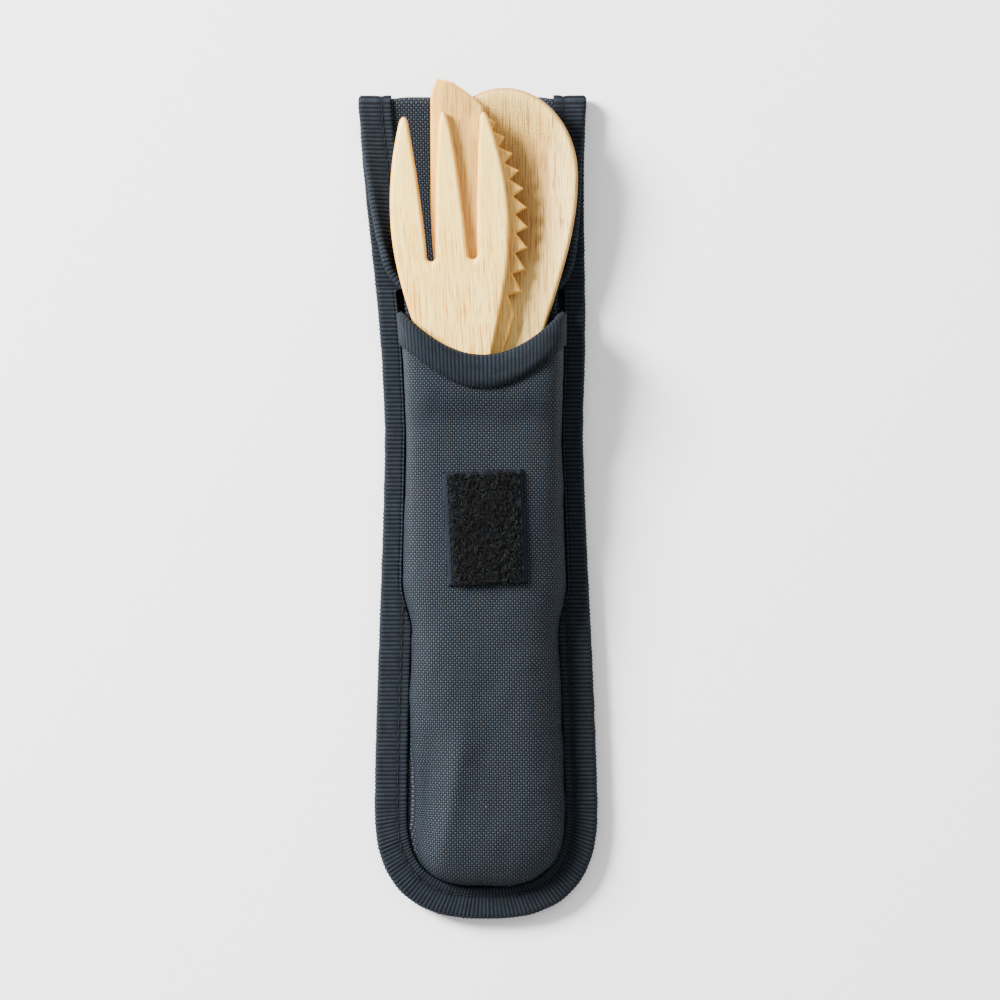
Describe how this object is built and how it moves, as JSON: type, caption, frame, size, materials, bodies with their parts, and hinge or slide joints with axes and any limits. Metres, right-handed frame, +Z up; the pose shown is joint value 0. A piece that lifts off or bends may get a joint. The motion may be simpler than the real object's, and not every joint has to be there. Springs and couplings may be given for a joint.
{
  "type": "fabric pouch with bamboo fork, knife and spoon",
  "caption": "A reusable wooden cutlery pack: bamboo fork, toothed knife and spoon in a slim dark fabric pouch bound with grosgrain tape, its flap tucked into the mouth",
  "frame": {"origin": "on the surface the pack lies on, under the middle of its box", "axes": "+Z points up away from the surface, +Y runs from the pouch's bottom to its fold, +X to the right of someone who looks down at the front with the fold at the top"},
  "size_m": [0.06, 0.21, 0.0178],
  "materials": {
    "panel_fabric": "matt woven polyester, slate blue-black",
    "binding_tape": "ribbed grosgrain tape, blue-black",
    "loop_pile": "fuzzy black loops on a woven backing",
    "hook_tape": "black woven tape with stiff hooks",
    "pale_bamboo": "sanded pale bamboo with fine golden grain",
    "tan_bamboo": "sanded toasted bamboo",
    "honey_bamboo": "sanded honey-coloured bamboo"
  },
  "bodies": {
    "root": {"back_panel_and_flap": "panel_fabric", "front_panel": "panel_fabric", "edge_binding": "binding_tape", "mouth_binding": "binding_tape", "loop_patch": "loop_pile", "hook_patch": "hook_tape", "spoon": "honey_bamboo", "knife": "tan_bamboo", "fork": "pale_bamboo"}
  },
  "joints": []
}
